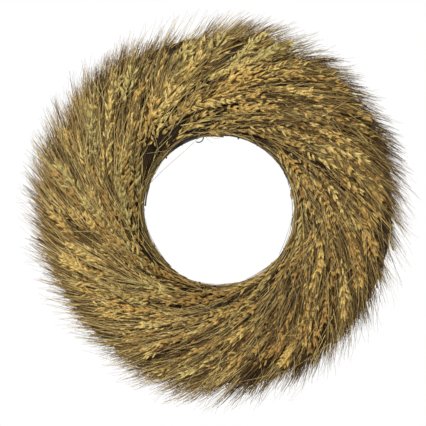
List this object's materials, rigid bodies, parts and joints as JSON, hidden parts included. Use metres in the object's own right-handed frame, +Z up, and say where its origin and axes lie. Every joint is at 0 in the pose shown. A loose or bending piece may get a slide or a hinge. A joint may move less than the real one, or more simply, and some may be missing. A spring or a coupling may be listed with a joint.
{
  "type": "door wreath",
  "caption": "Round door wreath of bearded wheat tied to a wire ring frame, ears sweeping clockwise, with a loose wire hanging hook on the inner ring.",
  "frame": {"origin": "centre of the wreath's rings, halfway through its depth", "axes": "+Y through the hole from the front to the door side, +X to the right seen from the front, +Z up as it hangs"},
  "size_m": [0.54, 0.0738, 0.54],
  "materials": {
    "black_wire": "black paint, satin, a little worn",
    "thin_wire": "thin dark green-black florist's wire",
    "hook_wire": "dark blued steel wire, half matt",
    "wheat_inner": "dried wheat ears and awns, golden to tan, matt",
    "wheat_front": "dried wheat ears and awns, golden to olive tan, matt",
    "wheat_outer": "dried wheat awns, olive tan, matt"
  },
  "bodies": {
    "wreath": {"frame_ring_1": "black_wire", "frame_ring_2": "black_wire", "frame_ring_3": "black_wire", "frame_ring_4": "black_wire", "frame_crossbar_1": "black_wire", "frame_crossbar_2": "black_wire", "frame_crossbar_3": "black_wire", "frame_crossbar_4": "black_wire", "frame_crossbar_5": "black_wire", "frame_crossbar_6": "black_wire", "binding_wire": "thin_wire", "wheat_inner_01": "wheat_inner", "wheat_inner_02": "wheat_inner", "wheat_inner_03": "wheat_inner", "wheat_inner_04": "wheat_inner", "wheat_inner_05": "wheat_inner", "wheat_inner_06": "wheat_inner", "wheat_inner_07": "wheat_inner", "wheat_inner_08": "wheat_inner", "wheat_inner_09": "wheat_inner", "wheat_inner_10": "wheat_inner", "wheat_inner_11": "wheat_inner", "wheat_inner_12": "wheat_inner", "wheat_front_01": "wheat_front", "wheat_front_02": "wheat_front", "wheat_front_03": "wheat_front", "wheat_front_04": "wheat_front", "wheat_front_05": "wheat_front", "wheat_front_06": "wheat_front", "wheat_front_07": "wheat_front", "wheat_front_08": "wheat_front", "wheat_front_09": "wheat_front", "wheat_front_10": "wheat_front", "wheat_front_11": "wheat_front", "wheat_front_12": "wheat_front", "wheat_outer_01": "wheat_outer", "wheat_outer_02": "wheat_outer", "wheat_outer_03": "wheat_outer", "wheat_outer_04": "wheat_outer", "wheat_outer_05": "wheat_outer", "wheat_outer_06": "wheat_outer", "wheat_outer_07": "wheat_outer", "wheat_outer_08": "wheat_outer", "wheat_outer_09": "wheat_outer", "wheat_outer_10": "wheat_outer", "wheat_outer_11": "wheat_outer", "wheat_outer_12": "wheat_outer"},
    "hanger": {"hanging_hook": "hook_wire"}
  },
  "joints": [
    {"name": "hook_swing", "type": "hinge", "parent": "wreath", "child": "hanger", "pos_m": [-0.02316, 0.027, 0.10805], "axis": [0.9778, 0, 0.2096], "range_deg": [-25, 180]}
  ]
}
